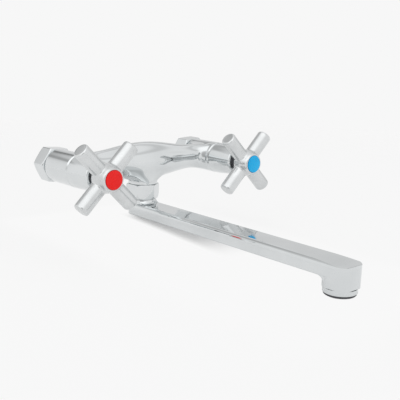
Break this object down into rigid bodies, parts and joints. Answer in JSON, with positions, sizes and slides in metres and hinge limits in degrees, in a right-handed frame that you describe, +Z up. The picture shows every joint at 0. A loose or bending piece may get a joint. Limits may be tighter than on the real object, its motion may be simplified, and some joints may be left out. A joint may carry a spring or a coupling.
{
  "type": "bridge kitchen faucet",
  "caption": "Wall-mounted bridge kitchen faucet with union-nut inlets, hot and cold cross handles, and a long flat spout that swings under the bridge and ends in an aerator.",
  "frame": {"origin": "midway between the two inlets, in the plane of the union nuts' wall faces", "axes": "+X from the hot side to the cold side, +Y towards the wall, +Z up; the spout points along -Y"},
  "size_m": [0.2046, 0.2682, 0.0879],
  "materials": {
    "chrome": "polished",
    "brass": "machined",
    "rubber": "matte",
    "black_plastic": "satin",
    "ceramic": "lapped",
    "nylon": "satin",
    "hot_red": "gloss",
    "cold_blue": "gloss",
    "steel": "plain"
  },
  "bodies": {
    "fixed": {"body": "chrome", "hot_inlet_tail": "brass", "hot_inlet_gasket": "rubber", "hot_valve_seat_ring": "rubber", "hot_valve_fixed_disc": "ceramic", "hot_valve_housing": "brass", "hot_housing_washer": "rubber", "hot_shroud": "chrome", "hot_stop_ring": "black_plastic", "cold_inlet_tail": "brass", "cold_inlet_gasket": "rubber", "cold_valve_seat_ring": "rubber", "cold_valve_fixed_disc": "ceramic", "cold_valve_housing": "brass", "cold_housing_washer": "rubber", "cold_shroud": "chrome", "cold_stop_ring": "black_plastic", "spout_nut": "chrome", "spout_slide_washer": "nylon"},
    "hot_handle_group": {"hot_handle": "chrome", "hot_handle_screw": "steel", "hot_index_button": "hot_red", "hot_spindle": "brass", "hot_valve_turning_disc": "ceramic", "hot_spindle_o_ring": "rubber", "hot_spindle_clip": "steel"},
    "hot_nut_group": {"hot_union_nut": "chrome"},
    "cold_handle_group": {"cold_handle": "chrome", "cold_handle_screw": "steel", "cold_index_button": "cold_blue", "cold_spindle": "brass", "cold_valve_turning_disc": "ceramic", "cold_spindle_o_ring": "rubber", "cold_spindle_clip": "steel"},
    "cold_nut_group": {"cold_union_nut": "chrome"},
    "spout_group": {"spout": "chrome", "spout_split_ring": "brass", "spout_upper_o_ring": "rubber", "spout_lower_o_ring": "rubber", "aerator_gasket": "rubber", "aerator_strainer": "nylon", "aerator_insert": "black_plastic", "aerator_housing": "chrome"}
  },
  "joints": [
    {"name": "hot_handle_turn", "type": "hinge", "parent": "fixed", "child": "hot_handle_group", "pos_m": [-0.075, -0.087, 0], "axis": [0, -1, 0], "range_deg": [0, 180]},
    {"name": "cold_handle_turn", "type": "hinge", "parent": "fixed", "child": "cold_handle_group", "pos_m": [0.075, -0.087, 0], "axis": [0, -1, 0], "range_deg": [0, 180]},
    {"name": "spout_swivel", "type": "hinge", "parent": "fixed", "child": "spout_group", "pos_m": [0, -0.0324, -0.0334], "axis": [0, 0, 1], "range_deg": [-90, 90]},
    {"name": "hot_union_nut_turn", "type": "hinge", "parent": "fixed", "child": "hot_nut_group", "pos_m": [-0.075, -0.0075, 0], "axis": [0, 1, 0], "continuous": true},
    {"name": "cold_union_nut_turn", "type": "hinge", "parent": "fixed", "child": "cold_nut_group", "pos_m": [0.075, -0.0075, 0], "axis": [0, 1, 0], "continuous": true}
  ]
}
